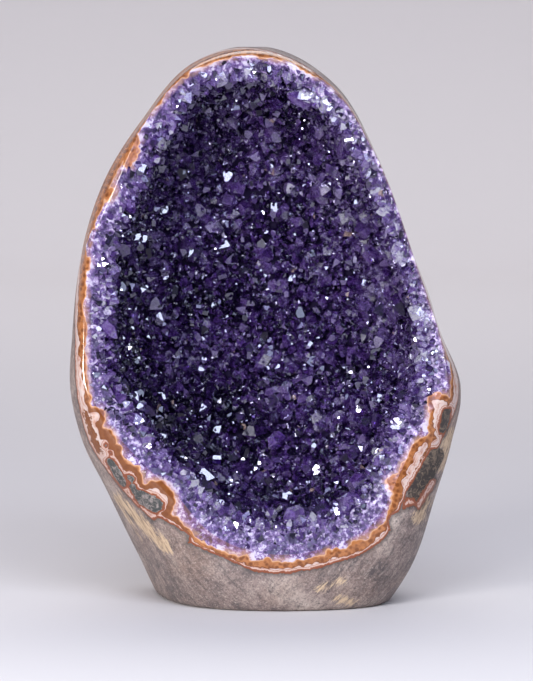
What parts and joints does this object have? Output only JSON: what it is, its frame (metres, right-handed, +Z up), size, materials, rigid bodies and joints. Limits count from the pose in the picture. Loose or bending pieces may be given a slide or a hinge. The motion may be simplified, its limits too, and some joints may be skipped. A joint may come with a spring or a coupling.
{
  "type": "amethyst geode",
  "caption": "Upright amethyst geode with a polished agate-edged opening, a hollow lined with quartz points and a sawn flat base to stand on.",
  "frame": {"origin": "on the sawn flat base, below the centre of the polished face", "axes": "+Z up, -Y towards the open polished face, +X to the right as seen from the front"},
  "size_m": [0.3436, 0.2554, 0.49],
  "materials": {
    "polished_stone": "polished grey-brown basalt with a narrow orange and pink agate lining",
    "amethyst": "clear glossy crystal, white at the roots and deep violet at the tips"
  },
  "bodies": {
    "root": {"stone_shell": "polished_stone", "crystal_crust": "amethyst"}
  },
  "joints": []
}
